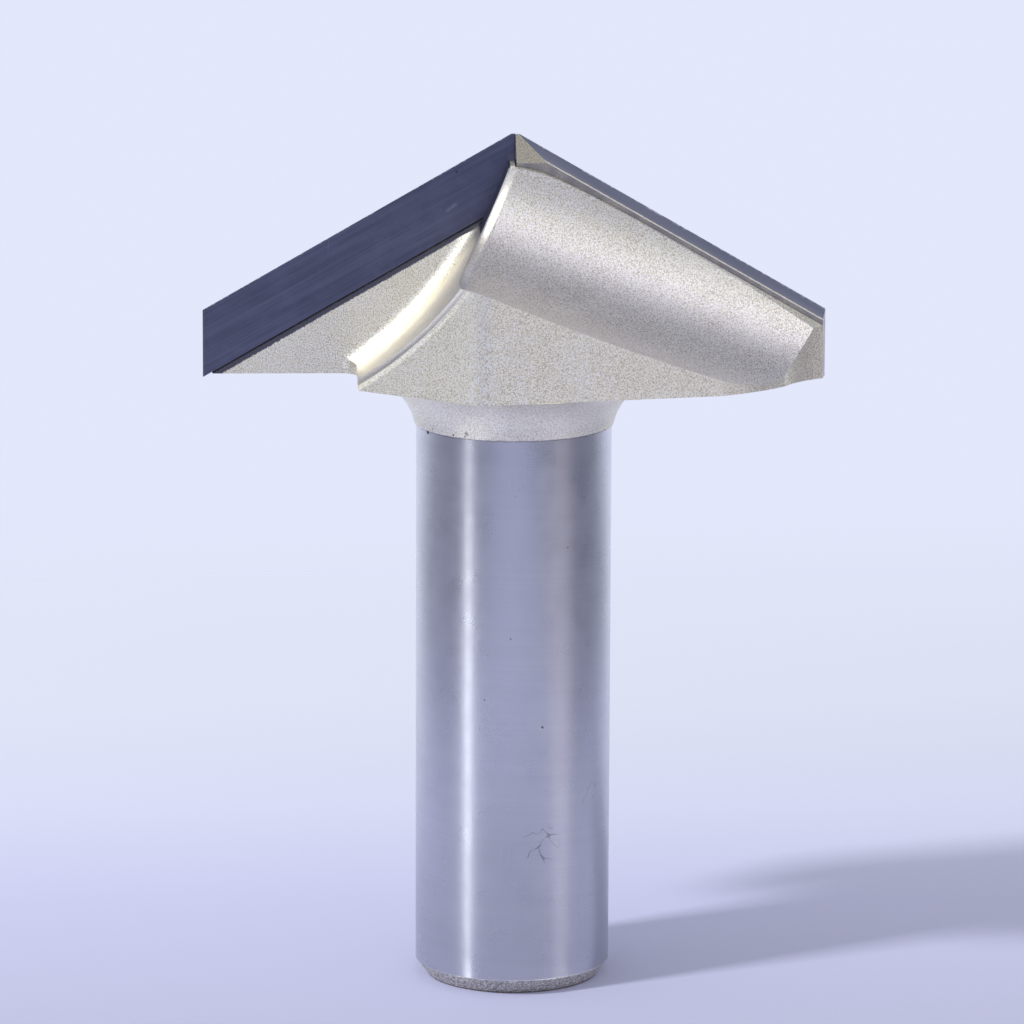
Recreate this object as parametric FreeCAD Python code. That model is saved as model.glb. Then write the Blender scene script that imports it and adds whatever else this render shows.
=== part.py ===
import FreeCAD, Part
import math
import os
from FreeCAD import Vector

# V-groove router bit with two brazed carbide blades, in millimetres.
# Z is the spin axis and points to the cutting tip. The origin is the centre of the shank's end face.
# Both cutting edges lie in the plane y = 0. Everything on the -Y side is repeated on the +Y side
# by half a turn about Z. The pieces are built with the head's underside at z = 0 and moved up at the end.

# Shank and neck
shank_dia = 12.7
shank_ground_len = 36.9
shank_chamfer_height = 1.0
shank_chamfer_width = 0.77
neck_dia = 12.8
neck_len = 3.2
neck_fillet = 4.0
neck_step = 0.5

# Cutting edges
cut_dia = 40.3
point_angle = 120.0
side_edge_len = 4.4
blade_below_head = 0.22
tip_flat_drop = 0.16

# Carbide blades
blade_width = 3.82
blade_thick = 2.0
flank_relief = 14.0
side_relief = 9.0
tip_facet_angle = 40.7
axis_gap = 0.03
seat_past_axis = 0.05
braze_gap = 0.12
braze_recess = 0.1
braze_end_recess = 0.6

# Steel behind the blades
cone_drop = 0.75
land_drop = 0.78
land_angle = 45.0
land_reach = 1.2
land_start_x = 1.8

# Gullet in front of each blade
gullet_foot_x = 10.2
gullet_foot_height = 0.7
gullet_fillet = 1.1
gullet_top_x = 0.43
gullet_top_below_tip = 1.9
gullet_bow = 1.25
rake_margin = 0.35
wall_chamfer = 0.3

# Cove milled behind each blade, a round trough that falls towards the head's rim
cove_radius = 6.5
cove_slope = 20.6
cove_centre_x = 4.4
cove_centre_back = 8.7
cove_below_tip = 4.7

# Outline of the head seen from the tip, front half. "In" is measured from the cutting circle and
# "back" from the plane of the cutting edges, towards -Y.
hub_front_angle = 33.7
hub_corner_x = 2.5
hub_corner_back = 11.0
hub_corner_round = 2.0
heel_start_in = 7.15
heel_start_back = 7.9
heel_bow = 0.24
heel_end_in = 2.95
heel_end_back = 4.85
wing_bow = 0.3
wing_in = 0.3

# Derived values
axis_y = Vector(0, 1, 0)
axis_z = Vector(0, 0, 1)
head_base_height = shank_ground_len + neck_len
cut_radius = cut_dia / 2
edge_slope = math.radians(90.0 - point_angle / 2)
corner_z = side_edge_len - blade_below_head
sharp_tip_z = corner_z + cut_radius * math.tan(edge_slope)
tip_z = sharp_tip_z - tip_flat_drop
far = 3 * cut_radius
close = 1e-3


def point_xz(x, z):
    return Vector(x, 0, z)


def bowed(start, end, share, bow, normal):
    """Point at a share of the line from start to end, moved sideways by bow, square to the normal."""
    along = end - start
    side = along.cross(normal).normalize()
    return start + along * share + side * bow


def prism_y(points, y_from, y_to):
    """Solid between two y values over a closed outline in the XZ plane."""
    wire = Part.makePolygon(points + [points[0]])
    face = Part.Face(wire)
    face.translate(Vector(0, y_from, 0))
    return face.extrude(Vector(0, y_to - y_from, 0))


def half_turn(shape):
    """The same shape on the other side of the spin axis."""
    turned = shape.copy()
    turned.rotate(Vector(0, 0, 0), axis_z, 180)
    return turned


def edge_frame_block(x_from, x_to, drop, y_front, y_back, tilt):
    """Large block whose lower face is a plane along the right cutting edge.

    The plane passes drop below the edge line at y = y_back and falls towards -Y by tilt."""
    depth = y_back - y_front
    fall = depth * math.tan(math.radians(tilt))
    low = [
        Vector(x_from, y_back, -drop),
        Vector(x_from, y_front, -drop - fall),
        Vector(x_from, y_front, far),
        Vector(x_from, y_back, far),
    ]
    face = Part.Face(Part.makePolygon(low + [low[0]]))
    block = face.extrude(Vector(x_to - x_from, 0, 0))
    block.rotate(Vector(0, 0, 0), Vector(0, 1, 0), math.degrees(edge_slope))
    block.translate(Vector(0, 0, sharp_tip_z))
    return block


def blank():
    """Turned bar: ground shank, filleted neck and a conical head."""
    shank_r = shank_dia / 2
    neck_r = neck_dia / 2
    chamfer_r = shank_r - shank_chamfer_width
    end_z = -head_base_height
    chamfer_z = end_z + shank_chamfer_height
    neck_foot = max(-neck_len, -neck_fillet)
    rise = neck_foot + neck_fillet
    neck_foot_r = neck_r + neck_fillet - math.sqrt(neck_fillet ** 2 - rise ** 2)
    mid = math.radians(45)
    half_r = neck_r + neck_fillet * (1 - math.cos(mid))
    half_z = neck_fillet * (math.sin(mid) - 1)
    apex_z = sharp_tip_z - cone_drop
    rim_z = apex_z - cut_radius * math.tan(edge_slope)
    profile = [
        Part.LineSegment(point_xz(0, end_z), point_xz(chamfer_r, end_z)),
        Part.LineSegment(point_xz(chamfer_r, end_z), point_xz(shank_r, chamfer_z)),
        Part.LineSegment(point_xz(shank_r, chamfer_z), point_xz(shank_r, -neck_len)),
        Part.LineSegment(point_xz(shank_r, -neck_len), point_xz(neck_foot_r, neck_foot)),
        Part.Arc(
            point_xz(neck_foot_r, neck_foot),
            point_xz(half_r, half_z),
            point_xz(neck_r + neck_fillet, 0),
        ),
        Part.LineSegment(point_xz(neck_r + neck_fillet, 0), point_xz(cut_radius, 0)),
        Part.LineSegment(point_xz(cut_radius, 0), point_xz(cut_radius, rim_z)),
        Part.LineSegment(point_xz(cut_radius, rim_z), point_xz(0, apex_z)),
        Part.LineSegment(point_xz(0, apex_z), point_xz(0, end_z)),
    ]
    wire = Part.Wire([curve.toShape() for curve in profile])
    return Part.Face(wire).revolve(Vector(0, 0, 0), axis_z, 360)


def outline_face():
    """Front half of the head's outline, seen from the tip."""
    hub_side_x = gullet_foot_x + gullet_fillet
    hub_rise = (hub_side_x - hub_corner_x) * math.tan(math.radians(hub_front_angle))
    hub_left = Vector(-hub_side_x, hub_rise - hub_corner_back, 0)
    hub_corner = Vector(-hub_corner_x, -hub_corner_back, 0)
    heel_start = Vector(cut_radius - heel_start_in, -heel_start_back, 0)
    heel_end = Vector(cut_radius - heel_end_in, -heel_end_back, 0)
    heel_middle = bowed(heel_start, heel_end, 0.5, heel_bow, axis_z)
    wing_back = Vector(cut_radius - wing_in, -(blade_thick + braze_gap), 0)
    wing_middle = bowed(heel_end, wing_back, 0.5, -wing_bow, axis_z)
    wing_front = Vector(cut_radius - axis_gap, 0, 0)
    hub_back = Vector(-hub_side_x, 0, 0)
    curves = [
        Part.LineSegment(hub_left, hub_corner),
        Part.LineSegment(hub_corner, heel_start),
        Part.Arc(heel_start, heel_middle, heel_end),
        Part.Arc(heel_end, wing_middle, wing_back),
        Part.LineSegment(wing_back, wing_front),
        Part.LineSegment(wing_front, hub_back),
        Part.LineSegment(hub_back, hub_left),
    ]
    return Part.Face(Part.Wire([curve.toShape() for curve in curves]))


def head_half(gullet_cut):
    """Front half of the head up to above the tip, with its gullet and the gullet wall's chamfer."""
    prism = outline_face().extrude(Vector(0, 0, far))
    prism.translate(Vector(0, 0, -neck_step))
    upright = [e for e in prism.Edges if is_hub_corner(e)]
    prism = prism.makeFillet(hub_corner_round, upright)
    prism = prism.cut(gullet_cut)
    wall_front = [e for e in prism.Edges if is_wall_front(e)]
    return prism.makeChamfer(wall_chamfer, wall_front)


def head_outline(gullet_cut):
    """Both halves of the head's outline, from just under the head to above the tip."""
    prism = head_half(gullet_cut)
    both = prism.fuse(half_turn(prism))
    end = Vector(0, 0, -head_base_height)
    collar = Part.makeCylinder(neck_dia / 2 + neck_fillet, head_base_height, end)
    return both.fuse(collar)


def is_hub_corner(edge):
    """True for the upright edge at the hub's front corner."""
    middle = edge.CenterOfMass
    return abs(middle.x + hub_corner_x) < close and abs(middle.y + hub_corner_back) < close


def is_wall_front(edge):
    """True for the edge where the gullet's curved wall meets the hub's left front face."""
    middle = edge.CenterOfMass
    low = middle.z < sharp_tip_z - gullet_top_below_tip - close
    raised = middle.z > gullet_foot_height + close
    left = -gullet_foot_x + close < middle.x < -hub_corner_x - hub_corner_round
    return low and raised and left and middle.y < -2 * gullet_fillet


def gullet_block():
    """Space in front of the left blade: flat floor at y = 0 and a curved wall that meets it sharply."""
    foot = point_xz(-gullet_foot_x, gullet_foot_height)
    top = point_xz(-gullet_top_x, sharp_tip_z - gullet_top_below_tip)
    wall_middle = bowed(foot, top, 0.5, gullet_bow, -axis_y)
    low = point_xz(foot.x, -neck_step)
    step = point_xz(0, top.z)
    high = point_xz(0, far)
    high_outer = point_xz(-far, high.z)
    low_outer = point_xz(-far, low.z)
    curves = [
        Part.LineSegment(low, foot),
        Part.Arc(foot, wall_middle, top),
        Part.LineSegment(top, step),
        Part.LineSegment(step, high),
        Part.LineSegment(high, high_outer),
        Part.LineSegment(high_outer, low_outer),
        Part.LineSegment(low_outer, low),
    ]
    face = Part.Face(Part.Wire([curve.toShape() for curve in curves]))
    return face.extrude(Vector(0, -far, 0))


def gullet(block):
    """Chip space in front of the left blade, with a filleted wall foot."""
    wall_foot = [e for e in block.Edges if is_wall_foot(e)]
    return block.makeFillet(gullet_fillet, wall_foot)


def rake_space(block):
    """Part of the gullet right in front of the left blade, where the wall foot has no fillet."""
    outline = blade_outline(seat_past_axis, far, far, rake_margin)
    return block.common(prism_y(outline, -2 * gullet_fillet, 0))


def is_wall_foot(edge):
    """True for the edges where the gullet's wall meets its floor."""
    middle = edge.CenterOfMass
    curved = edge.Curve.TypeId == "Part::GeomCircle"
    upright = abs(middle.x + gullet_foot_x) < close
    return abs(middle.y) < close and (curved or upright)


def cove():
    """Round trough behind the right blade, open at both ends."""
    slope = math.radians(cove_slope)
    along = Vector(math.cos(slope), 0, -math.sin(slope))
    centre = Vector(cove_centre_x, -cove_centre_back, sharp_tip_z - cove_below_tip)
    start = centre - along * cut_radius
    return Part.makeCylinder(cove_radius, far, start, along)


def land():
    """Block above the sloping land between the right blade's seat and the cove."""
    back = -(blade_thick + braze_gap)
    from_x = land_start_x / math.cos(edge_slope)
    return edge_frame_block(from_x, far, land_drop, back - land_reach, back, land_angle)


def blade_outline(inner, outer, above, margin):
    """Outline in the XZ plane along the left cutting edge, from x = inner to x = -outer.

    It reaches above the edge and goes below the blade's lower edge by margin."""
    rise = math.tan(edge_slope)
    lower = (blade_width + margin) / math.cos(edge_slope)
    return [
        point_xz(inner, sharp_tip_z + above + inner * rise),
        point_xz(-outer, sharp_tip_z + above - outer * rise),
        point_xz(-outer, sharp_tip_z - lower - outer * rise),
        point_xz(inner, sharp_tip_z - lower + inner * rise),
    ]


def blade_slab():
    """The left blade before its relief is ground."""
    return prism_y(blade_outline(-axis_gap, cut_radius, 0, 0), 0, blade_thick)


def seat():
    """Pocket for the left blade, with room for the braze and open above and outside."""
    outline = blade_outline(seat_past_axis, far, far, braze_gap)
    return prism_y(outline, 0, blade_thick + braze_gap)


def blade_right():
    """Right blade: rake face on y = 0, ground flank, side relief and tip facet."""
    slab = half_turn(blade_slab())
    slab = slab.cut(edge_frame_block(-far, far, 0, -far, 0, flank_relief))
    side_in = far * math.tan(math.radians(side_relief))
    side = [
        Vector(cut_radius, 0, -far),
        Vector(cut_radius - side_in, -far, -far),
        Vector(cut_radius + far, -far, -far),
        Vector(cut_radius + far, 0, -far),
    ]
    slab = slab.cut(Part.Face(Part.makePolygon(side + [side[0]])).extrude(Vector(0, 0, far * 2)))
    fall = far * math.tan(math.radians(tip_facet_angle))
    facet = [
        Vector(-far, 0, sharp_tip_z),
        Vector(-far, -far, sharp_tip_z - fall),
        Vector(-far, -far, sharp_tip_z + far),
        Vector(-far, 0, sharp_tip_z + far),
    ]
    slab = slab.cut(Part.Face(Part.makePolygon(facet + [facet[0]])).extrude(Vector(2 * far, 0, 0)))
    top = Part.makeBox(2 * far, 2 * far, far, Vector(-far, -far, tip_z))
    return slab.cut(top)


def milled_steel():
    """The body before the blade seats are cut."""
    block = gullet_block()
    gullet_cut = gullet(block)
    shape = blank().common(head_outline(gullet_cut))
    for tool in [gullet_cut, rake_space(block), cove(), land()]:
        shape = shape.cut(tool)
        shape = shape.cut(half_turn(tool))
    return shape


def body(steel):
    """The turned and milled steel body with its two blade seats."""
    left_seat = seat()
    return steel.cut(left_seat).cut(half_turn(left_seat)).removeSplitter()


def braze_left(steel):
    """Braze behind and under the left blade, set back a little from the steel's edges."""
    outline = blade_outline(-axis_gap, cut_radius, 0, braze_gap)
    layer = prism_y(outline, braze_recess, blade_thick + braze_gap).cut(blade_slab())
    reach = cut_radius - braze_end_recess
    span = Part.makeBox(reach - axis_gap, far, far, Vector(-reach, 0, 0))
    lowered = steel.copy()
    lowered.translate(Vector(0, 0, -braze_recess))
    return layer.common(span).common(steel).common(lowered)


def write(name, shape):
    shape.translate(Vector(0, 0, head_base_height))
    solid = shape.Solids[0] if len(shape.Solids) == 1 else shape
    print(name, "solids", len(shape.Solids), "valid", shape.isValid(), "volume", round(shape.Volume, 3))
    solid.exportStep(os.path.join("parts", name + ".step"))


def main():
    os.makedirs("parts", exist_ok=True)
    right = blade_right()
    steel = milled_steel()
    left_braze = braze_left(steel)
    write("body", body(steel))
    write("blade_1", half_turn(right))
    write("blade_2", right)
    write("braze_2", half_turn(left_braze))
    write("braze_1", left_braze)


main()
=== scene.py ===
"""Dresses the v-groove router bit in its finishes and sets it on a pale studio floor."""

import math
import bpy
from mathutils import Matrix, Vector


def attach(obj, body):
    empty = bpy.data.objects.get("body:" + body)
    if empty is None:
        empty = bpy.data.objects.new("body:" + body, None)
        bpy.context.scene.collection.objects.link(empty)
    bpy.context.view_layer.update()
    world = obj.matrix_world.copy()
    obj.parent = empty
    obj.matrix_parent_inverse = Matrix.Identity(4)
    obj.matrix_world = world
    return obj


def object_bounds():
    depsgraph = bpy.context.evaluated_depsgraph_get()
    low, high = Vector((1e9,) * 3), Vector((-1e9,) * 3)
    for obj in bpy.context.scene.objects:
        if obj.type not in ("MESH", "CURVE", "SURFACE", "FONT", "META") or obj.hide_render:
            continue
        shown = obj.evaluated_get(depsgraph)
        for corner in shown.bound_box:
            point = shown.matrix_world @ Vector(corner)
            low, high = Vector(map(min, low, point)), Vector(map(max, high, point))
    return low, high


bl_info = {
    "name": "V-groove router bit",
    "version": (1, 0, 0),
    "blender": (4, 5, 0),
    "location": "3D View > Sidebar > Router Bit",
    "description": "Finishes and studio stage for a v-groove router bit with two brazed carbide blades",
    "category": "Object",
}

import bpy
from bpy.props import FloatProperty, FloatVectorProperty, PointerProperty
from mathutils import Matrix, Vector

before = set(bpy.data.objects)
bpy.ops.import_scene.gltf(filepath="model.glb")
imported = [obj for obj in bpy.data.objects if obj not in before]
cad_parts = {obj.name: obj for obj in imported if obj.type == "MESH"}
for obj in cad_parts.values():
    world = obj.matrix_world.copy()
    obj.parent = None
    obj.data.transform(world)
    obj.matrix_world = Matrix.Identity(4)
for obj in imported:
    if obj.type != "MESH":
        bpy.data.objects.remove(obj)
cad_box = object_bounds()

# Sizes of the bit that the finishes follow, in millimetres and degrees, the same as the solids have
MM = 0.001
SHANK_GROUND_LEN = 36.9
SHANK_RADIUS = 6.35
SHANK_CHAMFER_HEIGHT = 1.0
HEAD_BASE_Z = 40.1
CUT_RADIUS = 20.15
SHARP_TIP_Z = 55.914
EDGE_SLOPE = 30.0
BLADE_WIDTH = 3.82
BLADE_THICKNESS = 2.0
TIP_FACET_ANGLE = 40.7
GULLET_FOOT = (-10.2, 40.8)
GULLET_TOP = (-0.43, 54.014)
GULLET_BOW = 1.25
COVE_CENTRE = (4.4, -8.7, 51.214)
COVE_SLOPE = 20.6
COVE_RADIUS = 6.5

# Places of single marks on the shank, in millimetres
HAIR_RIGHT = (4.74, -4.2, 13.2)
HAIR_MIDDLE = (1.6, -6.1, 10.2)
CHIP_HIGH = (-5.2, -3.64, 37.25)
CHIP_LOW = (-5.64, -2.9, 36.8)

# Line of braze between the blades at the tip, in metres
TIP_JOINT_HALF_WIDTH = 0.000025
TIP_JOINT_DEPTHS = (-0.00005, 0.0005)
TIP_JOINT_HEIGHTS = (0.0542, 0.0557)

# Floor: half its side in metres, the ends of its ramp of shades and the shades by y, in millimetres. The
# shades are painted light and shade: darker towards the camera, lighter far away.
FLOOR_REACH = 3.0
FLOOR_DROP = 0.00002
RAMP_NEAR = -250.0
RAMP_FAR = 450.0
FLOOR_SHADES = (
    (RAMP_NEAR, (0.40, 0.415, 0.60)),
    (-60.0, (0.50, 0.52, 0.73)),
    (-12.0, (0.565, 0.584, 0.807)),
    (17.0, (0.640, 0.660, 0.930)),
    (44.0, (0.740, 0.775, 1.000)),
    (75.0, (0.790, 0.830, 1.000)),
    (RAMP_FAR, (0.820, 0.860, 1.000)),
)

# Warm panel and strip lights, in metres and degrees
PANEL_DISTANCE = 0.6
PANEL_TURN = -42.0
PANEL_RISE = 20.0
PANEL_WIDTH = 0.17
PANEL_HEIGHT = 0.36
LEFT_STRIP_TURN = 57.0
LEFT_STRIP_SPREAD = 4.5
RIGHT_STRIP_TURN = -58.0
RIGHT_STRIP_SPREAD = 20.0
STRIP_ENDS = (0.001, 0.012, 0.03, 0.075, 0.22)
STRIP_LIFT = 0.0001


# Node helpers


class Graph:
    """Adds nodes to one node tree and links them."""

    def __init__(self, tree):
        self.tree = tree
        self.nodes = tree.nodes
        self.column = 0

    def add(self, kind, **settings):
        node = self.nodes.new(kind)
        self.column += 1
        node.location = (self.column % 12 * 190, -(self.column // 12) * 260)
        for key, value in settings.items():
            setattr(node, key, value)
        return node

    def feed(self, socket, value):
        """Link a socket's value, or set a plain one."""
        if isinstance(value, bpy.types.NodeSocket):
            self.tree.links.new(value, socket)
        elif isinstance(value, tuple) and len(value) == 3 and socket.type == "RGBA":
            socket.default_value = (*value, 1.0)
        else:
            socket.default_value = value

    def math(self, operation, a, b=0.0):
        node = self.add("ShaderNodeMath", operation=operation)
        self.feed(node.inputs[0], a)
        self.feed(node.inputs[1], b)
        return node.outputs[0]

    def plus(self, a, b):
        return self.math("ADD", a, b)

    def minus(self, a, b):
        return self.math("SUBTRACT", a, b)

    def times(self, first, *others):
        for value in others:
            first = self.math("MULTIPLY", first, value)
        return first

    def largest(self, first, *others):
        for value in others:
            first = self.math("MAXIMUM", first, value)
        return first

    def without_sign(self, value):
        return self.math("ABSOLUTE", value)

    def vector(self, operation, a, b=(0.0, 0.0, 0.0)):
        node = self.add("ShaderNodeVectorMath", operation=operation)
        self.feed(node.inputs[0], a)
        self.feed(node.inputs["Scale" if operation == "SCALE" else 1], b)
        return node.outputs["Value" if operation in {"DOT_PRODUCT", "DISTANCE"} else 0]

    def combine(self, x, y, z):
        node = self.add("ShaderNodeCombineXYZ")
        for socket, value in zip(node.inputs, (x, y, z)):
            self.feed(socket, value)
        return node.outputs[0]

    def split(self, vector):
        node = self.add("ShaderNodeSeparateXYZ")
        self.feed(node.inputs[0], vector)
        return node.outputs

    def mix(self, factor, a, b, blend="MIX"):
        """Colour between a and b."""
        node = self.add("ShaderNodeMix", data_type="RGBA", blend_type=blend)
        self.feed(node.inputs[0], factor)
        self.feed(node.inputs[6], a)
        self.feed(node.inputs[7], b)
        return node.outputs[2]

    def lay(self, under, over, mask, amount):
        """Colour with another one laid over it where the mask is full."""
        return self.mix(self.times(mask, amount), under, over)

    def shade(self, tint, tone):
        """Colour times a number."""
        return self.mix(1.0, tint, self.combine(tone, tone, tone), "MULTIPLY")

    def blend(self, factor, a, b):
        """Number between a and b."""
        node = self.add("ShaderNodeMix", data_type="FLOAT")
        self.feed(node.inputs[0], factor)
        self.feed(node.inputs[2], a)
        self.feed(node.inputs[3], b)
        return node.outputs[0]

    def band(self, value, low, high, to_low=0.0, to_high=1.0):
        """Smooth step of value from low to high."""
        node = self.add("ShaderNodeMapRange", interpolation_type="SMOOTHSTEP")
        for socket, given in zip(node.inputs, (value, low, high, to_low, to_high)):
            self.feed(socket, given)
        return node.outputs[0]

    def band_linear(self, value, low, high):
        """Value from low to high as 0 to 1."""
        node = self.add("ShaderNodeMapRange")
        for socket, given in zip(node.inputs, (value, low, high)):
            self.feed(socket, given)
        return node.outputs[0]

    def near_zero(self, value, inside, outside):
        """Full where the value is within inside of zero, gone from outside on."""
        return self.band(self.without_sign(value), inside, outside, 1.0, 0.0)

    def near_point(self, place, point, inside, outside):
        """Full within inside of a point, gone from outside on."""
        return self.band(self.vector("DISTANCE", place, point), inside, outside, 1.0, 0.0)

    def noise(self, vector, scale, detail=2.0, rough=0.5):
        node = self.add("ShaderNodeTexNoise")
        self.feed(node.inputs["Vector"], vector)
        self.feed(node.inputs["Scale"], scale)
        self.feed(node.inputs["Detail"], detail)
        self.feed(node.inputs["Roughness"], rough)
        return node.outputs["Fac"]

    def bump(self, height, distance):
        node = self.add("ShaderNodeBump")
        self.feed(node.inputs["Strength"], 1.0)
        self.feed(node.inputs["Distance"], distance)
        self.feed(node.inputs["Height"], height)
        return node.outputs[0]

    def group(self, tree, **values):
        """The named outputs of a node group, with its inputs given by name."""
        node = self.add("ShaderNodeGroup", node_tree=tree)
        for key, value in values.items():
            self.feed(node.inputs[key.replace("_", " ")], value)
        return node.outputs


def new_group(name, inputs, outputs):
    """Empty shader node group with named sockets, and its graph, input sockets and output sockets."""
    tree = bpy.data.node_groups.new(name, "ShaderNodeTree")
    for kind, label, value in inputs:
        socket = tree.interface.new_socket(name=label, in_out="INPUT", socket_type=kind)
        if value is not None:
            socket.default_value = value
    for kind, label in outputs:
        tree.interface.new_socket(name=label, in_out="OUTPUT", socket_type=kind)
    graph = Graph(tree)
    return tree, graph, graph.add("NodeGroupInput").outputs, graph.add("NodeGroupOutput").inputs


def shared_group(name, build):
    """The node group of that name, built once."""
    return bpy.data.node_groups.get(name) or build(name)


def colour(values, factor=1.0):
    """Plain colour from a property, made darker or lighter by a factor."""
    return tuple(factor * value for value in values)


# Effects that more than one finish uses


def build_bit_space(name):
    """Position in millimetres, turned so that both halves of the bit read as its front half."""
    outputs = [("NodeSocketVector", label) for label in ("Position", "Front", "Front Normal")]
    tree, g, _, out = new_group(name, [], outputs)
    here = g.add("ShaderNodeTexCoord").outputs["Object"]
    position = g.vector("SCALE", here, 1.0 / MM)
    x, y, z = g.split(position)
    turn = g.blend(g.math("GREATER_THAN", y, 0.0), 1.0, -1.0)
    front = g.combine(g.times(x, turn), g.times(y, turn), z)
    normal_x, normal_y, normal_z = g.split(g.add("ShaderNodeNewGeometry").outputs["True Normal"])
    normal = g.combine(g.times(normal_x, turn), g.times(normal_y, turn), normal_z)
    g.feed(out["Position"], position)
    g.feed(out["Front"], front)
    g.feed(out["Front Normal"], normal)
    return tree


def build_coat_grain(name):
    """Sprayed and blasted grain of the nickel coat: a height, a speckle, a mask of spots that the coat uses
    for painted glints and the braze for brown spots, and a soft cloud.
    """
    inputs = [
        ("NodeSocketVector", "Position", None),
        ("NodeSocketFloat", "Grains per mm", 13.0),
    ]
    outputs = [("NodeSocketFloat", label) for label in ("Height", "Speckle", "Painted Glints and Spots", "Cloud")]
    tree, g, given, out = new_group(name, inputs, outputs)
    place, grains = given["Position"], given["Grains per mm"]
    fine = g.noise(place, grains, 2.0, 0.6)
    coarse = g.noise(place, g.times(grains, 0.37), 1.0)
    moved = g.vector("ADD", place, (31.7, 12.3, 7.9))
    speckle = g.noise(g.vector("ADD", moved, (5.0, 5.0, 5.0)), grains, 1.0, 0.7)
    glint = g.noise(moved, g.times(grains, 0.9), 1.0)
    g.feed(out["Height"], g.plus(g.times(fine, 0.75), g.times(coarse, 0.25)))
    g.feed(out["Speckle"], g.band(speckle, 0.3, 0.7))
    # Spots: painted glints on the coat, brown spots in the braze
    g.feed(out["Painted Glints and Spots"], g.band(glint, 0.58, 0.72))
    g.feed(out["Cloud"], g.noise(moved, 0.35, 3.0, 0.55))
    return tree


def build_grinding(name):
    """Fine parallel grinding lines across one direction, as a height and a tone."""
    inputs = [
        ("NodeSocketVector", "Position", None),
        ("NodeSocketVector", "Across", (0.0, 0.0, 1.0)),
        ("NodeSocketFloat", "Lines per mm", 9.0),
    ]
    outputs = [("NodeSocketFloat", "Height"), ("NodeSocketFloat", "Tone")]
    tree, g, given, out = new_group(name, inputs, outputs)
    across = g.vector("DOT_PRODUCT", given["Position"], given["Across"])
    along = g.vector("SCALE", given["Position"], 0.12)
    count = g.times(across, given["Lines per mm"])
    thin_place = g.vector("ADD", along, g.combine(count, g.times(count, 0.37), 0.0))
    wide_place = g.vector("ADD", along, g.combine(g.times(count, 0.16), 4.0, 9.0))
    thin = g.noise(thin_place, 1.0, 3.0, 0.65)
    wide = g.noise(wide_place, 1.0, 2.0)
    g.feed(out["Height"], thin)
    g.feed(out["Tone"], g.plus(g.times(thin, 0.6), g.times(wide, 0.4)))
    return tree


def build_handling(name):
    """Handling marks: short hair scratches, tiny pits and soft stains."""
    inputs = [("NodeSocketVector", "Position", None)]
    outputs = [("NodeSocketFloat", label) for label in ("Scratches", "Pits", "Stains")]
    tree, g, given, out = new_group(name, inputs, outputs)
    place = given["Position"]
    stretched = g.vector("MULTIPLY", place, (1.0, 1.0, 0.16))
    cells = g.add("ShaderNodeTexVoronoi", feature="DISTANCE_TO_EDGE")
    g.feed(cells.inputs["Vector"], g.vector("ADD", stretched, (3.1, 5.2, 1.4)))
    g.feed(cells.inputs["Scale"], 0.33)
    hair = g.band(cells.outputs["Distance"], 0.0, 0.012, 1.0, 0.0)
    kept = g.band(g.noise(place, 0.42, 2.0), 0.6, 0.68)
    spots = g.add("ShaderNodeTexVoronoi", feature="F1")
    g.feed(spots.inputs["Vector"], place)
    g.feed(spots.inputs["Scale"], 0.55)
    size = g.band(g.split(spots.outputs["Color"])[0], 0.55, 1.0, 0.0001, 0.075)
    pit = g.band(g.math("DIVIDE", spots.outputs["Distance"], size), 0.5, 1.0, 1.0, 0.0)
    g.feed(out["Scratches"], g.times(hair, kept))
    g.feed(out["Pits"], pit)
    g.feed(out["Stains"], g.band(g.noise(place, 0.21, 4.0, 0.6), 0.48, 0.7))
    return tree


def build_ragged_line(name):
    """Ragged line along an edge: full at distance 0, gone at the given width."""
    inputs = [
        ("NodeSocketVector", "Position", None),
        ("NodeSocketFloat", "Distance", 0.0),
        ("NodeSocketFloat", "Width", 0.3),
        ("NodeSocketFloat", "Ragged", 0.1),
    ]
    tree, g, given, out = new_group(name, inputs, [("NodeSocketFloat", "Mask")])
    shake = g.times(g.minus(g.noise(given["Position"], 6.0, 3.0, 0.6), 0.5), 4.0)
    moved = g.plus(given["Distance"], g.times(shake, given["Ragged"]))
    g.feed(out["Mask"], g.band(g.minus(given["Width"], moved), -0.03, 0.05))
    return tree


def bit_space(g):
    return g.group(shared_group("bit space", build_bit_space))


def coat_grain(g, place, grains_per_mm=13.0):
    tree = shared_group("coat grain", build_coat_grain)
    return g.group(tree, Position=place, Grains_per_mm=grains_per_mm)


def grinding(g, place, across, lines_per_mm):
    tree = shared_group("grinding", build_grinding)
    return g.group(tree, Position=place, Across=across, Lines_per_mm=lines_per_mm)


def handling(g, place):
    return g.group(shared_group("handling", build_handling), Position=place)


def ragged_line(g, place, distance, width, ragged):
    tree = shared_group("ragged line", build_ragged_line)
    return g.group(tree, Position=place, Distance=distance, Width=width, Ragged=ragged)["Mask"]


# Distances to the features of the head, in millimetres


def below_blade(g, front):
    """Distance below the lower edge of the blade, in the plane of the cutting edges."""
    x, _, z = g.split(front)
    slope = math.radians(EDGE_SLOPE)
    level = g.times(g.minus(SHARP_TIP_Z, z), math.cos(slope))
    run = g.times(g.without_sign(x), math.sin(slope))
    return g.minus(g.minus(level, run), BLADE_WIDTH)


def from_gullet_wall(g, front):
    """Distance from the gullet's curved wall in the XZ plane, positive on the steel side."""
    foot, top = Vector(GULLET_FOOT), Vector(GULLET_TOP)
    chord = top - foot
    half = chord.length / 2
    radius = (half ** 2 + GULLET_BOW ** 2) / (2 * GULLET_BOW)
    side = Vector((chord.y, -chord.x)).normalized()
    centre = (foot + top) / 2 - side * (radius - GULLET_BOW)
    x, _, z = g.split(front)
    flat = g.combine(x, 0.0, z)
    return g.minus(g.vector("DISTANCE", flat, (centre.x, 0.0, centre.y)), radius)


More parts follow.
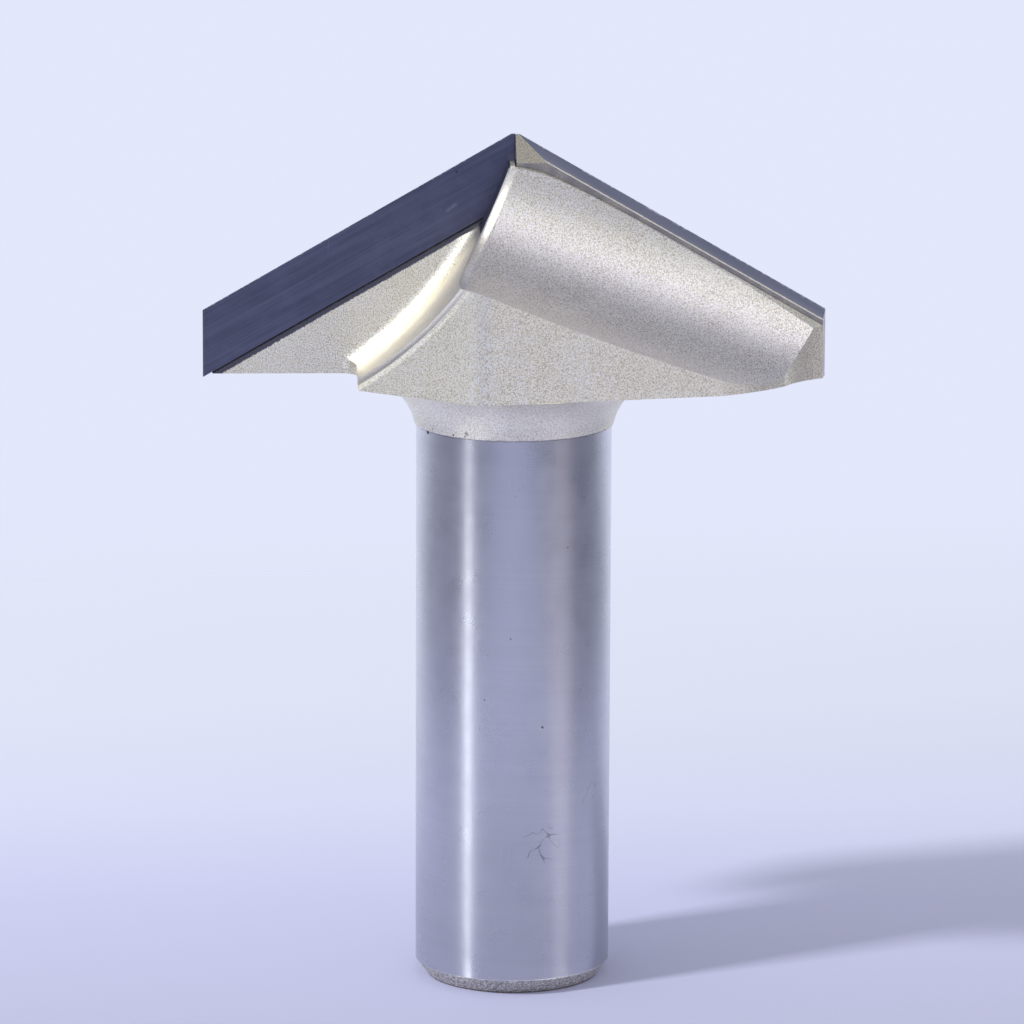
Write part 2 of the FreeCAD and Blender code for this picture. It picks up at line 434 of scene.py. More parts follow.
def from_cove(g, front):
    """Distance outside the cove's round surface."""
    slope = math.radians(COVE_SLOPE)
    along = (math.cos(slope), 0.0, -math.sin(slope))
    away = g.vector("SUBTRACT", front, COVE_CENTRE)
    run = g.vector("DOT_PRODUCT", away, along)
    square = g.vector("DOT_PRODUCT", away, away)
    radial = g.math("SQRT", g.minus(square, g.times(run, run)))
    return g.minus(radial, COVE_RADIUS)


class BitSurface:
    """Place, facing and marks at each point of the bit, as values in one material's graph."""

    def __init__(self, g, across, lines_per_mm):
        space = bit_space(g)
        self.place = space["Position"]
        self.front = space["Front"]
        self.front_x, self.front_y, self.z = g.split(self.front)
        self.face_x, self.face_y, self.face_z = g.split(space["Front Normal"])
        self.grain = coat_grain(g, self.place)
        self.lines = grinding(g, self.place, across, lines_per_mm)
        self.marks = handling(g, self.place)
        self.low = below_blade(g, self.front)


class BodySurface(BitSurface):
    """Where the body is coated, chamfered, uncoated or chipped, and where highlights and shade are painted
    on it.
    """

    def __init__(self, g):
        super().__init__(g, across=(0.0, 0.0, 1.0), lines_per_mm=14.0)
        self.wall = from_gullet_wall(g, self.front)
        self.cove = from_cove(g, self.front)
        on_wall_side = g.band(self.front_y, -0.03, -0.01, 1.0, 0.0)
        self.on_wall = g.times(g.near_zero(self.wall, 0.02, 0.05), on_wall_side)
        self.in_cove = g.near_zero(self.cove, 0.03, 0.06)
        left_half = g.band(self.front_x, 1.5, 2.0, 1.0, 0.0)
        self.beside_wall = g.times(g.math("GREATER_THAN", self.wall, 0.0), left_half)
        self.find_ends(g)
        self.bright = self.find_edge_highlights(g)
        self.bare_and_shaded = self.find_bare_and_shaded(g)
        self.chips = self.find_chips(g)

    def find_ends(self, g):
        """The coat's ragged lower end with its thin dark line, and the rough chamfer at the shank's end."""
        ragged = g.minus(g.noise(self.place, 2.4, 4.0, 0.65), 0.5)
        over_end = g.plus(g.minus(self.z, SHANK_GROUND_LEN - 0.04), g.times(ragged, 0.22))
        self.coated = g.band(over_end, -0.02, 0.04)
        self.end_line = g.near_zero(over_end, 0.02, 0.09)
        over_chamfer = g.plus(self.z, g.times(ragged, 0.12))
        chamfer_top = SHANK_CHAMFER_HEIGHT
        self.chamfer = g.band(over_chamfer, chamfer_top - 0.04, chamfer_top + 0.06, 1.0, 0.0)
        self.chamfer_grain = g.noise(self.place, 7.0, 3.0, 0.7)
        self.lowest_edge = g.band(self.z, 0.02, 0.13, 1.0, 0.0)

    def find_edge_highlights(self, g):
        """Edges of the gullet and the cove where highlights are painted on the coat."""
        wide_highlight = g.times(ragged_line(g, self.place, self.wall, 0.42, 0.10), self.beside_wall)
        cove_rim = g.times(wide_highlight, self.in_cove, g.band(self.low, 4.2, 1.0, 0.2, 1.0))
        thin_highlight = g.times(ragged_line(g, self.place, self.wall, 0.30, 0.03), self.beside_wall)
        upright = g.near_zero(self.face_z, 0.75, 0.85)
        front_wall = g.band(self.front_y, -4.5, -5.0)
        front_rim = g.times(thin_highlight, g.minus(1.0, self.in_cove), upright, front_wall)
        from_lip = g.without_sign(g.minus(self.cove, 0.08))
        lip = g.times(
            ragged_line(g, self.place, from_lip, 0.05, 0.03),
            g.band(self.front_x, 5.0, 8.0, 0.1, 0.8),
            g.band(self.front_y, -4.0, -4.4),
        )
        speckle = g.band(self.grain["Speckle"], 0.0, 0.8, 0.35, 1.0)
        return g.times(g.largest(cove_rim, front_rim, lip), speckle)

    def find_bare_and_shaded(self, g):
        """Dark steel colour beside the blade: an uncoated ground strip under it, and painted shade on the
        wall in front of it.
        """
        flat_floor = g.band(self.front_y, -0.05, -0.02)
        under = g.times(ragged_line(g, self.place, self.low, 0.42, 0.06), flat_floor)
        # Painted shade: the wall in front of the blade is drawn as dark as the ground strip
        before = g.times(
            g.band(self.low, 0.3, 0.36, 1.0, 0.0),
            g.near_zero(self.wall, 0.05, 0.09),
            g.band(self.in_cove, 0.3, 0.6, 1.0, 0.0),
        )
        return g.largest(under, before)

    def find_chips(self, g):
        """Chips of the coat above the ground shank: two at their places and some at random."""
        placed = g.largest(
            g.near_point(self.place, CHIP_HIGH, 0.16, 0.26), g.near_point(self.place, CHIP_LOW, 0.1, 0.22))
        scattered = g.band(g.noise(self.place, 1.7, 3.0, 0.7), 0.66, 0.72)
        near_end = g.near_zero(g.minus(self.z, SHANK_GROUND_LEN + 0.15), 0.1, 0.4)
        return g.largest(placed, g.times(scattered, near_end))


# Finishes


def new_material(name):
    """Material with an empty graph, a Principled shader and an output."""
    material = bpy.data.materials.new(name)
    material.use_nodes = True
    material.node_tree.nodes.clear()
    g = Graph(material.node_tree)
    shader = g.add("ShaderNodeBsdfPrincipled")
    output = g.add("ShaderNodeOutputMaterial")
    g.feed(output.inputs["Surface"], shader.outputs[0])
    return material, g, shader.inputs


def ground_steel(g, at, look):
    """Colour of the shank: ground, with stains, pits and hairs, painted shade towards the floor, and rough
    and brown at its end.
    """
    steel = g.mix(
        g.times(at.marks["Stains"], 0.35), colour(look.steel_colour), colour(look.steel_colour, 0.88))
    steel = g.shade(steel, g.band(at.lines["Tone"], 0.3, 0.7, 0.97, 1.02))
    steel = g.lay(steel, (0.12, 0.11, 0.12), at.marks["Pits"], 0.8)
    # Painted shade: the shank is drawn darker towards the floor
    steel = g.shade(steel, g.band(at.z, 2.0, 20.0, 0.78, 1.0))

    wave = g.noise(g.vector("ADD", at.place, (2.0, 7.0, 1.0)), 0.9, 1.0)
    hair = g.near_zero(g.minus(wave, 0.5), 0.004, 0.012)
    hair_near = g.largest(
        g.near_point(at.place, HAIR_RIGHT, 0.7, 1.0), g.near_point(at.place, HAIR_MIDDLE, 1.1, 1.5))
    steel = g.lay(steel, (0.10, 0.10, 0.13), g.times(hair, hair_near), 0.5)
    steel = g.lay(steel, (0.85, 0.86, 0.9), at.marks["Scratches"], 0.12)

    rough_tone = g.mix(g.band(at.chamfer_grain, 0.38, 0.66), (0.34, 0.33, 0.32), (0.85, 0.82, 0.76))
    # Dark brown at the lowest edge of the shank's end, where it meets the floor
    rough_tone = g.lay(rough_tone, (0.12, 0.07, 0.04), at.lowest_edge, 0.8)
    return g.mix(at.chamfer, steel, rough_tone)


def nickel_coat(g, at, look):
    """Colour of the neck and head: grainy coat with painted glints, painted light on the neck, painted shade
    on the side wall and beside the blades, a painted reflection in the cove, painted highlights on the
    edges, cleaner gullet wall and uncoated steel.
    """
    cloud = g.band(at.grain["Cloud"], 0.3, 0.7)
    coat = g.mix(cloud, colour(look.coat_colour, 0.93), colour(look.coat_colour, 1.04))
    coat = g.shade(coat, g.band(at.grain["Speckle"], 0.0, 1.0, 0.62, 1.36))
    # Painted glints: pale spots laid on the coat's grain
    coat = g.lay(coat, (0.97, 0.96, 0.94), at.grain["Painted Glints and Spots"], 0.6)
    # Painted light: the neck below the head is drawn lighter
    coat = g.lay(coat, (0.95, 0.92, 0.88), g.band(at.z, HEAD_BASE_Z + 0.1, HEAD_BASE_Z - 0.4), 0.2)
    # Painted shade: the side wall at the hub's outer end is drawn darker
    shaded_side_wall = g.times(g.band(at.face_x, 0.4, 0.45), g.band(at.front_x, 17.0, 18.0))
    coat = g.lay(coat, (0.45, 0.43, 0.42), shaded_side_wall, 0.35)

    # Painted reflection: where the cove faces up, the coat is tinted blue like the pale surroundings
    coat_with_painted_reflection = g.mix(1.0, coat, (0.95, 0.96, 1.14), "MULTIPLY")
    coat = g.lay(coat, coat_with_painted_reflection, at.in_cove, g.band(at.face_z, 0.1, 0.6))
    # Painted highlights: warm light lines along the edges of the gullet and the cove
    coat = g.mix(at.bright, coat, (1.0, 0.96, 0.86))
    wall_tone = g.mix(at.grain["Speckle"], colour(look.wall_colour, 0.82), colour(look.wall_colour))
    coat = g.lay(coat, wall_tone, at.on_wall, 0.8)
    # Uncoated ground strip under each blade, and painted shade on the wall in front of it
    return g.lay(coat, colour(look.bare_and_shade_colour), at.bare_and_shaded, 0.95)


def body_roughness(g, at, look):
    steel, coat = look.steel_roughness, look.coat_roughness
    shank = g.band(g.noise(at.place, 0.6, 3.0), 0.3, 0.7, steel - 0.02, steel + 0.02)
    shank = g.blend(at.chamfer, shank, 0.62)
    head = g.band(at.grain["Height"], 0.3, 0.7, coat + 0.08, coat - 0.06)
    head = g.blend(at.on_wall, head, 0.36)
    head = g.blend(at.bright, head, 0.32)
    head = g.blend(at.bare_and_shaded, head, 0.34)
    return g.blend(at.chips, g.blend(at.coated, shank, head), 0.8)


def body_relief(g, at):
    """Height of the grain, the grinding lines, the pits and chips, and of the rubbed edge of the gullet."""
    head = g.times(at.grain["Height"], g.blend(at.bare_and_shaded, g.blend(at.on_wall, 1.0, 0.6), 0.2))
    chamfer = g.times(at.chamfer, g.times(at.chamfer_grain, 2.0))
    shank = g.plus(g.times(at.lines["Height"], 0.10), chamfer)
    shank = g.minus(shank, g.times(at.marks["Pits"], 0.4))
    height = g.blend(at.coated, shank, head)
    height = g.minus(height, g.times(at.chips, 3.0))
    towards_rim = g.times(at.beside_wall, g.band(at.front_y, -0.3, -1.2))
    return g.plus(height, g.times(g.band(at.wall, 0.0, 0.62, -14.0, 0.0), towards_rim))


def body_finish(look):
    """Ground steel shank below, grainy nickel coat on the neck and head."""
    material, g, shader = new_material("ground_and_coated_steel")
    at = BodySurface(g)
    base = g.mix(at.coated, ground_steel(g, at, look), nickel_coat(g, at, look))
    base = g.lay(base, (0.10, 0.09, 0.09), at.end_line, 0.45)
    base = g.lay(base, (0.035, 0.028, 0.026), at.chips, 0.85)
    # Chips, and the lowest edge of the shank's end, are dull
    chips_and_lowest_edge = g.largest(at.chips, g.times(at.lowest_edge, at.chamfer))
    g.feed(shader["Base Color"], base)
    g.feed(shader["Roughness"], body_roughness(g, at, look))
    g.feed(shader["Metallic"], g.blend(chips_and_lowest_edge, 1.0, 0.2))
    g.feed(shader["Normal"], g.bump(body_relief(g, at), look.grain_depth))
    return material


def ground_carbide(g, at, look):
    """Colour of the rake face with its patches and scratches, of the lighter flank, and of the end with
    painted highlights.
    """
    carbide = look.carbide_colour
    base = g.shade(colour(carbide), g.band(at.lines["Tone"], 0.3, 0.7, 0.82, 1.22))
    patches = g.band(g.noise(at.place, 0.5, 3.0, 0.6), 0.42, 0.66)
    base = g.lay(base, colour(carbide, 1.35), patches, 0.35)
    base = g.lay(base, colour(carbide, 0.35), g.band(at.front_x, -8.0, -1.5), 0.35)
    base = g.lay(base, (0.42, 0.44, 0.52), at.marks["Scratches"], 0.35)
    base = g.lay(base, (0.02, 0.02, 0.025), at.marks["Pits"], 0.6)
    flank_tone = g.mix(g.band(at.back, 0.9, 2.0), colour(carbide, 0.5), (0.16, 0.16, 0.19))
    base = g.lay(base, flank_tone, at.flank, 0.85)
    # Painted highlight: the end face of each blade is drawn lighter
    base = g.lay(base, (0.34, 0.33, 0.40), g.band(at.face_x, 0.9, 0.96), 0.9)
    base = g.lay(base, (0.55, 0.55, 0.6), at.nick, 0.75)
    # Painted highlight: a light brown line along the blade's outer end on its rake face
    from_end = g.minus(CUT_RADIUS, g.without_sign(at.front_x))
    brown = g.times(g.band(from_end, 0.03, 0.12, 1.0, 0.0), g.band(at.face_y, 0.5, 0.7))
    return g.lay(base, (0.30, 0.22, 0.17), brown, 0.55)


class BladeSurface(BitSurface):
    """Where a blade is nicked, and where the coat lies on its tip facet, flank and back face."""

    def __init__(self, g, across):
        super().__init__(g, across, lines_per_mm=7.0)
        self.back = g.times(self.front_y, -1.0)
        self.flank = g.band(self.face_z, 0.3, 0.5)
        from_edge = g.plus(self.low, BLADE_WIDTH)
        nicked = g.band(g.noise(self.place, 3.1, 3.0, 0.7), 0.5, 0.62)
        self.nick = g.times(g.band(from_edge, 0.02, 0.07, 1.0, 0.0), nicked)

        facet_level = g.plus(g.times(self.back, math.tan(math.radians(TIP_FACET_ANGLE))), self.z)
        on_facet = g.near_zero(g.minus(facet_level, SHARP_TIP_Z), 0.02, 0.05)
        facet = g.times(on_facet, g.band(self.back, 0.06, 0.12))
        from_back = g.minus(BLADE_THICKNESS, self.back)
        spill = g.times(ragged_line(g, self.place, from_back, 0.22, 0.07), self.flank)
        self.coated_front = g.largest(facet, spill)
        patchy = g.band(g.noise(self.place, 1.2, 2.0), 0.35, 0.65, 0.6, 0.9)
        self.coated_back = g.times(g.band(self.face_y, -0.7, -0.8), patchy)
        self.coated = g.largest(self.coated_front, self.coated_back)


def blade_finish(name, across, look):
    """Ground carbide, with fine lines along its cutting edge and some coat at its tip and back."""
    material, g, shader = new_material(name)
    at = BladeSurface(g, across)
    coat = g.mix(at.grain["Speckle"], colour(look.coat_colour, 0.6), colour(look.coat_colour))
    # Painted glints: pale spots laid on the coat at the blade's tip and back
    coat = g.lay(coat, (0.93, 0.92, 0.90), at.grain["Painted Glints and Spots"], 0.6)
    base = g.mix(at.coated_front, ground_carbide(g, at, look), coat)
    base = g.mix(at.coated_back, base, g.mix(0.45, coat, (0.10, 0.10, 0.12)))
    carbide = look.carbide_roughness
    rough = g.band(at.lines["Tone"], 0.3, 0.7, carbide - 0.05, carbide + 0.08)
    height = g.plus(g.times(at.lines["Height"], 0.10), g.times(at.nick, -0.5))
    height = g.blend(at.coated, height, at.grain["Height"])
    g.feed(shader["Base Color"], base)
    g.feed(shader["Roughness"], g.blend(at.coated, rough, look.coat_roughness))
    g.feed(shader["Metallic"], g.blend(at.marks["Pits"], 1.0, 0.6))
    g.feed(shader["Normal"], g.bump(height, look.grain_depth))
    return material


def braze_finish(look):
    """Dull braze that has flowed in the joint, brown and dark in places."""
    material, g, shader = new_material("dull_braze")
    grain = coat_grain(g, bit_space(g)["Position"], 5.0)
    patches = g.band(grain["Cloud"], 0.35, 0.65)
    base = g.mix(patches, colour(look.braze_colour), colour(look.braze_colour, 0.4))
    # The glint spots of the grain, used here as brown spots in the braze
    base = g.lay(base, (0.30, 0.22, 0.14), grain["Painted Glints and Spots"], 0.25)
    g.feed(shader["Base Color"], base)
    g.feed(shader["Roughness"], g.band(grain["Height"], 0.3, 0.7, 0.62, 0.42))
    g.feed(shader["Metallic"], g.band(grain["Cloud"], 0.3, 0.7, 0.9, 0.5))
    g.feed(shader["Normal"], g.bump(grain["Height"], look.grain_depth))
    return material


def dress(node_name, material):
    """Give every material slot of a solid the finish."""
    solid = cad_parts.get(node_name)
    if solid is None:
        raise RuntimeError("the frame has no solid named " + node_name)
    if not solid.material_slots:
        solid.data.materials.append(material)
    for slot in solid.material_slots:
        slot.material = material


# The scene's own piece


def build_tip_joint():
    """Thin line of braze between the two blades at the tip."""
    widths = (-TIP_JOINT_HALF_WIDTH, TIP_JOINT_HALF_WIDTH)
    corners = [(x, y, z) for x in widths for y in TIP_JOINT_DEPTHS for z in TIP_JOINT_HEIGHTS]
    faces = [(0, 1, 3, 2), (4, 6, 7, 5), (0, 4, 5, 1), (2, 3, 7, 6), (0, 2, 6, 4), (1, 5, 7, 3)]
    mesh = bpy.data.meshes.new("tip_joint")
    mesh.from_pydata(corners, [], faces)
    joint = bpy.data.objects.new("tip_joint", mesh)
    bpy.context.scene.collection.objects.link(joint)
    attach(joint, "root")
    return joint


# Stage


def build_floor():
    """Large pale floor, with painted shade that makes it darker towards the camera and beside the bit, that
    fades into the surroundings.
    """
    mesh = bpy.data.meshes.new("studio_floor")
    low, high = -FLOOR_REACH, FLOOR_REACH
    corners = [(low, low, 0.0), (high, low, 0.0), (high, high, 0.0), (low, high, 0.0)]
    mesh.from_pydata(corners, [], [(0, 1, 2, 3)])
    floor = bpy.data.objects.new("studio_floor", mesh)
    bpy.context.scene.collection.objects.link(floor)
    floor.location.z = cad_box[0][2] - FLOOR_DROP
    mesh.materials.append(floor_finish())


def floor_finish():
    material, g, shader = new_material("pale_floor")
    place = g.vector("SCALE", g.add("ShaderNodeTexCoord").outputs["Object"], 1.0 / MM)
    x, y, _ = g.split(place)
    ramp = g.add("ShaderNodeValToRGB")
    g.feed(ramp.inputs[0], g.band_linear(y, RAMP_NEAR, RAMP_FAR))
    elements = ramp.color_ramp.elements
    for number, (at, shade) in enumerate(FLOOR_SHADES):
        spot = (at - RAMP_NEAR) / (RAMP_FAR - RAMP_NEAR)
        element = elements[number] if number < 2 else elements.new(spot)
        element.position = spot
        element.color = (*shade, 1.0)
    # Painted shade: the floor is drawn darker beside the bit
    beside = g.band(g.without_sign(x), 44.0, 110.0, 0.0, 1.0)
    darker = g.mix(0.65, ramp.outputs[0], (0.0, 0.0, 0.0))
    g.feed(shader["Base Color"], g.mix(beside, ramp.outputs[0], darker))
    g.feed(shader["Alpha"], g.band(y, 40.0, 160.0, 1.0, 0.0))
    g.feed(shader["Roughness"], g.band(g.noise(place, 0.02, 3.0, 0.5), 0.3, 0.7, 0.62, 0.72))
    shader["Specular IOR Level"].default_value = 0.0
    return material


def build_world(stage):
    """Pale surroundings for the camera and for reflections, and an even fill for the rest."""
    world = bpy.data.worlds.new("studio_world")
    world.use_nodes = True
    world.node_tree.nodes.clear()
    g = Graph(world.node_tree)
    path = g.add("ShaderNodeLightPath").outputs
    seen = g.largest(path["Is Camera Ray"], path["Is Transmission Ray"])
    _, away, up = g.split(g.add("ShaderNodeTexCoord").outputs["Generated"])
    behind = g.band(away, -0.15, 0.55, 0.92, 1.1)
    dim = g.times(g.band(away, 0.85, 0.35), g.band(up, 0.4, 0.8))
    mirrored = g.times(path["Is Glossy Ray"], g.times(behind, g.blend(dim, 1.0, 0.32)))
    shown = g.add("ShaderNodeBackground")
    g.feed(shown.inputs["Color"], colour(stage.background))
    g.feed(shown.inputs["Strength"], g.largest(seen, mirrored))
    even = g.add("ShaderNodeBackground")
    g.feed(even.inputs["Color"], (1.0, 1.0, 1.0))
    g.feed(even.inputs["Strength"], stage.fill)
    choice = g.add("ShaderNodeMixShader")
    g.feed(choice.inputs[0], g.largest(seen, path["Is Glossy Ray"]))
    g.feed(choice.inputs[1], even.outputs[0])
    g.feed(choice.inputs[2], shown.outputs[0])
    output = g.add("ShaderNodeOutputWorld")
    g.feed(output.inputs["Surface"], choice.outputs[0])
    bpy.context.scene.world = world


def aim(obj, place, target, roll=0.0):
    """Place a lamp or camera and turn it to a point."""
    forward = (target - place).normalized()
    level = forward.cross(Vector((0.0, 0.0, 1.0))).normalized()
    high = level.cross(forward)
    right = level * math.cos(roll) + high * math.sin(roll)
    up = high * math.cos(roll) - level * math.sin(roll)
    turn = Matrix((right, up, -forward)).transposed().to_4x4()
    obj.matrix_world = Matrix.Translation(place) @ turn


def around_bit(distance, turn, height, centre):
    """Point at a distance from the centre, turned from the camera's side towards -X and raised."""
    flat = distance * math.cos(height)
    across, along = -flat * math.sin(turn), -flat * math.cos(turn)
    return centre + Vector((across, along, distance * math.sin(height)))


def add_lamp(name, width, height, power, shade):
    """Area lamp that isn't placed yet."""
    lamp = bpy.data.lights.new(name, "AREA")
    lamp.shape = "RECTANGLE"
    lamp.size = width
    lamp.size_y = height
    lamp.energy = power
    lamp.color = shade
    obj = bpy.data.objects.new(name, lamp)
    bpy.context.scene.collection.objects.link(obj)
    return obj


def lay_strip(name, turn, spread, brightness, shade):
    """Strip light lying on the floor away from the bit, that only the metal mirrors.

    Its turn and spread are in degrees. It is laid as a row of lamps that widen with the distance.
    """
    turn = math.radians(turn)
    away = Vector((-math.sin(turn), -math.cos(turn), 0.0))
    start = SHANK_RADIUS * MM * Vector((-math.sin(turn / 2), -math.cos(turn / 2), 0.0))
    right = away.cross(Vector((0.0, 0.0, 1.0)))
    # A lamp shines along its own -Z, so its +Z is turned down.
    face_up = Matrix((-right, away, Vector((0.0, 0.0, -1.0)))).transposed().to_4x4()
    for number, (near, far) in enumerate(zip(STRIP_ENDS, STRIP_ENDS[1:])):
        middle = (near + far) / 2
        width = 2 * middle * math.tan(math.radians(spread / 2))
        power = math.pi * width * (far - near) * brightness
        lamp = add_lamp(f"{name}_{number + 1}", width, far - near, power, shade)
        place = start + away * middle + Vector((0.0, 0.0, STRIP_LIFT))
        lamp.matrix_world = Matrix.Translation(place) @ face_up
        lamp.visible_camera = False
        lamp.visible_diffuse = False


def light_studio(stage, centre):
    """Key lamp on the upper left, warm panel on the right and two strip lights on the floor."""
    key_place = around_bit(stage.key_distance, stage.key_turn, stage.key_height, Vector((0.0, 0.0, 0.0)))
    key = add_lamp("key_lamp", stage.key_size, stage.key_size, stage.key_power, (1.0, 0.985, 0.96))
    aim(key, key_place, centre)
    turn, rise = math.radians(PANEL_TURN), math.radians(PANEL_RISE)
    panel = add_lamp("warm_panel", PANEL_WIDTH, PANEL_HEIGHT, stage.panel_power, (1.0, 0.94, 0.94))
    aim(panel, around_bit(PANEL_DISTANCE, turn, rise, centre), centre)
    panel.visible_diffuse = False
    lay_strip("left_strip", LEFT_STRIP_TURN, LEFT_STRIP_SPREAD, stage.left_strip, (0.98, 0.99, 1.0))
    lay_strip("right_strip", RIGHT_STRIP_TURN, RIGHT_STRIP_SPREAD, stage.right_strip, (1.0, 0.90, 0.88))


def place_camera(stage, centre):
    lens = bpy.data.cameras.new("camera")
    lens.sensor_width = 36.0
    lens.sensor_fit = "HORIZONTAL"
    lens.lens = stage.camera_lens
    lens.clip_start = 0.01
    lens.clip_end = 20.0
    camera = bpy.data.objects.new("camera", lens)
    bpy.context.scene.collection.objects.link(camera)
    place = around_bit(stage.camera_distance, stage.camera_turn, stage.camera_pitch, centre)
    aim(camera, place, centre, stage.camera_roll)
    return camera


# Values that a user would change


class BitLook(bpy.types.PropertyGroup):
    steel_colour: FloatVectorProperty(
        name="Ground steel", description="Colour of the ground shank", subtype="COLOR",
        size=3, min=0.0, max=1.0, default=(0.67, 0.68, 0.735))
    steel_roughness: FloatProperty(
        name="Steel roughness", description="Roughness of the ground shank", subtype="FACTOR",
        min=0.05, max=1.0, default=0.29)
    coat_colour: FloatVectorProperty(
        name="Coat", description="Colour of the grainy nickel coat", subtype="COLOR",
        size=3, min=0.0, max=1.0, default=(0.97, 0.895, 0.71))
    coat_roughness: FloatProperty(
        name="Coat roughness", description="Roughness of the coat between its grains", subtype="FACTOR",
        min=0.05, max=1.0, default=0.44)
    wall_colour: FloatVectorProperty(
        name="Gullet wall", description="Colour of the cleaner steel of the gullet's wall", subtype="COLOR",
        size=3, min=0.0, max=1.0, default=(0.82, 0.79, 0.74))
    # Colour of the ground strip beside each blade, also used for painted shade on the wall in front of it
    bare_and_shade_colour: FloatVectorProperty(
        name="Bare steel", description="Colour of the ground strip beside each blade", subtype="COLOR",
        size=3, min=0.0, max=1.0, default=(0.085, 0.09, 0.125))
    carbide_colour: FloatVectorProperty(
        name="Carbide", description="Colour of the ground carbide", subtype="COLOR",
        size=3, min=0.0, max=1.0, default=(0.175, 0.185, 0.27))
    carbide_roughness: FloatProperty(
        name="Carbide roughness", description="Roughness of the ground carbide", subtype="FACTOR",
        min=0.05, max=1.0, default=0.34)
    braze_colour: FloatVectorProperty(
        name="Braze", description="Colour of the braze in the joints", subtype="COLOR",
        size=3, min=0.0, max=1.0, default=(0.06, 0.055, 0.06))
    grain_depth: FloatProperty(
        name="Grain depth", description="Depth of the coat's grain", subtype="DISTANCE", unit="LENGTH",
        min=0.0, max=0.001, precision=6, default=0.00002)


class BitStage(bpy.types.PropertyGroup):
    camera_lens: FloatProperty(
        name="Lens", description="Focal length on a sensor 36 mm wide, in millimetres",
        min=20.0, max=1000.0, default=250.565)
    camera_distance: FloatProperty(
        name="Camera distance", description="From the point looked at", subtype="DISTANCE", unit="LENGTH",
        min=0.05, max=5.0, default=0.46369)
    camera_turn: FloatProperty(
        name="Camera turn", description="Turn of the view from straight ahead towards -X",
        subtype="ANGLE", unit="ROTATION", default=math.radians(1.9955))
    camera_pitch: FloatProperty(
        name="Camera pitch", description="How far the view looks down", subtype="ANGLE", unit="ROTATION",
        default=math.radians(12.262))
    camera_roll: FloatProperty(
        name="Camera roll", description="Tilt of the view about its own axis",
        subtype="ANGLE", unit="ROTATION", default=math.radians(0.2286))
    look_at: FloatVectorProperty(
        name="Look at", description="Point on the bit at the middle of the view", subtype="TRANSLATION",
        unit="LENGTH", size=3, default=(-0.000106, 0.0, 0.030866))
    background: FloatVectorProperty(
        name="Background", description="Pale colour behind the bit and in its reflections",
        subtype="COLOR", size=3, min=0.0, max=1.0, default=(0.768, 0.802, 0.965))
    fill: FloatProperty(
        name="Fill", description="Strength of the even light from all sides",
        min=0.0, max=2.0, default=0.60)
    key_distance: FloatProperty(
        name="Key distance", description="From the bit to the key lamp", subtype="DISTANCE", unit="LENGTH",
        min=0.1, max=3.0, default=0.7)
    key_turn: FloatProperty(
        name="Key turn", description="Turn of the key lamp from the camera's side towards -X",
        subtype="ANGLE", unit="ROTATION", default=math.radians(62.5))
    key_height: FloatProperty(
        name="Key height", description="Angle of the key lamp above the floor",
        subtype="ANGLE", unit="ROTATION", default=math.radians(47.0))
    key_size: FloatProperty(
        name="Key size", description="Width of the key lamp", subtype="DISTANCE", unit="LENGTH",
        min=0.01, max=1.0, default=0.07)
    key_power: FloatProperty(
        name="Key power", description="Power of the key lamp", subtype="POWER", unit="POWER",
        min=0.0, max=100.0, default=2.35)
    panel_power: FloatProperty(
        name="Panel power", description="Power of the warm panel on the right",
        subtype="POWER", unit="POWER", min=0.0, max=100.0, default=0.6)
    left_strip: FloatProperty(
        name="Left strip", description="Brightness of the narrow strip light mirrored on the shank's left",
        min=0.0, max=100.0, default=3.2)
    right_strip: FloatProperty(
        name="Right strip", description="Brightness of the broad strip light mirrored on the shank's right",
        min=0.0, max=100.0, default=0.25)


# Operators


class BIT_OT_finish_body(bpy.types.Operator):
    """Give the turned and milled body its ground shank and grainy coat"""

    bl_idname = "bit.finish_body"
    bl_label = "Finish Body"

    def execute(self, context):
        dress("body", body_finish(context.scene.bit_look))
        return {"FINISHED"}


class BIT_OT_finish_blades(bpy.types.Operator):
    """Give the two carbide blades their ground faces, with lines along each cutting edge"""

    bl_idname = "bit.finish_blades"
    bl_label = "Finish Blades"

    def execute(self, context):
        look = context.scene.bit_look
        slope = math.radians(EDGE_SLOPE)
        left = (-math.sin(slope), 0.0, math.cos(slope))
        right = (math.sin(slope), 0.0, math.cos(slope))
        dress("blade_1", blade_finish("ground_carbide_left", left, look))
        dress("blade_2", blade_finish("ground_carbide_right", right, look))
        return {"FINISHED"}


class BIT_OT_finish_braze(bpy.types.Operator):
    """Give the braze behind and under both blades its dull finish"""

    bl_idname = "bit.finish_braze"
    bl_label = "Finish Braze"

    def execute(self, context):
        material = braze_finish(context.scene.bit_look)
        for node_name in ("braze_1", "braze_2"):
            dress(node_name, material)
        return {"FINISHED"}


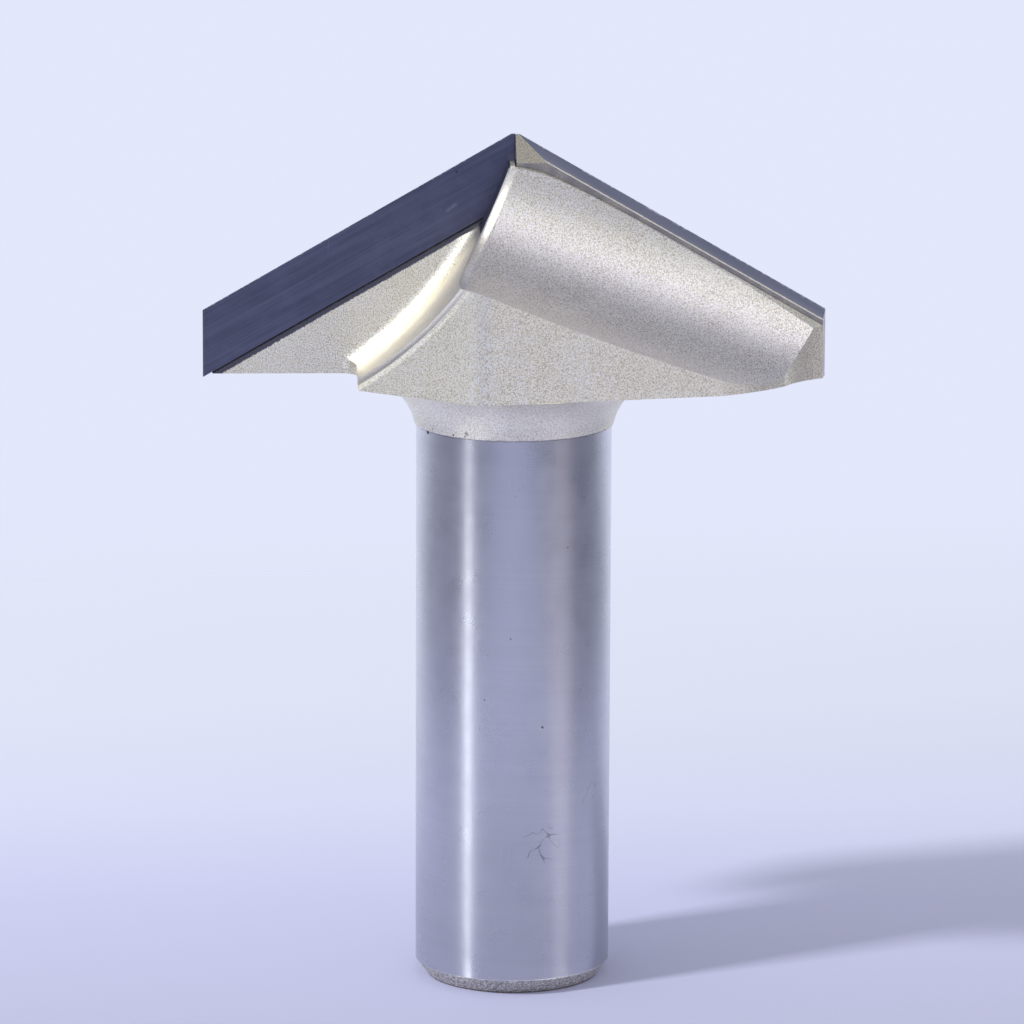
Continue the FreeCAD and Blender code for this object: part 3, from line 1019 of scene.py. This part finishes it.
class BIT_OT_add_tip_joint(bpy.types.Operator):
    """Add the line of braze between the blades at the tip, in the finish of the other braze"""

    bl_idname = "bit.add_tip_joint"
    bl_label = "Add Tip Joint"

    def execute(self, context):
        material = bpy.data.materials.get("dull_braze")
        if material is None:
            raise RuntimeError("the braze has no finish yet")
        build_tip_joint().data.materials.append(material)
        return {"FINISHED"}


class BIT_OT_build_stage(bpy.types.Operator):
    """Lay the pale floor, light the studio and place the camera"""

    bl_idname = "bit.build_stage"
    bl_label = "Build Stage"

    def execute(self, context):
        scene = context.scene
        stage = scene.bit_stage
        centre = Vector(stage.look_at)
        build_floor()
        build_world(stage)
        light_studio(stage, centre)
        scene.camera = place_camera(stage, centre)
        scene.view_settings.view_transform = "Standard"
        return {"FINISHED"}


class BIT_PT_panel(bpy.types.Panel):
    """Lists the bit's operators and values"""

    bl_idname = "BIT_PT_panel"
    bl_label = "V-Groove Router Bit"
    bl_space_type = "VIEW_3D"
    bl_region_type = "UI"
    bl_category = "Router Bit"

    def draw(self, context):
        layout = self.layout
        for operator in OPERATORS:
            layout.operator(operator.bl_idname)
        for group in (context.scene.bit_look, context.scene.bit_stage):
            column = layout.column()
            for name in group.__annotations__:
                column.prop(group, name)


OPERATORS = (
    BIT_OT_finish_body,
    BIT_OT_finish_blades,
    BIT_OT_finish_braze,
    BIT_OT_add_tip_joint,
    BIT_OT_build_stage,
)
CLASSES = (BitLook, BitStage, *OPERATORS, BIT_PT_panel)


def register():
    for cls in CLASSES:
        bpy.utils.register_class(cls)
    bpy.types.Scene.bit_look = PointerProperty(type=BitLook)
    bpy.types.Scene.bit_stage = PointerProperty(type=BitStage)


def unregister():
    del bpy.types.Scene.bit_stage
    del bpy.types.Scene.bit_look
    for cls in reversed(CLASSES):
        bpy.utils.unregister_class(cls)


def main():
    register()
    bpy.ops.bit.finish_body()
    bpy.ops.bit.finish_blades()
    bpy.ops.bit.finish_braze()
    bpy.ops.bit.add_tip_joint()
    bpy.ops.bit.build_stage()


if __name__ == "__main__":
    main()
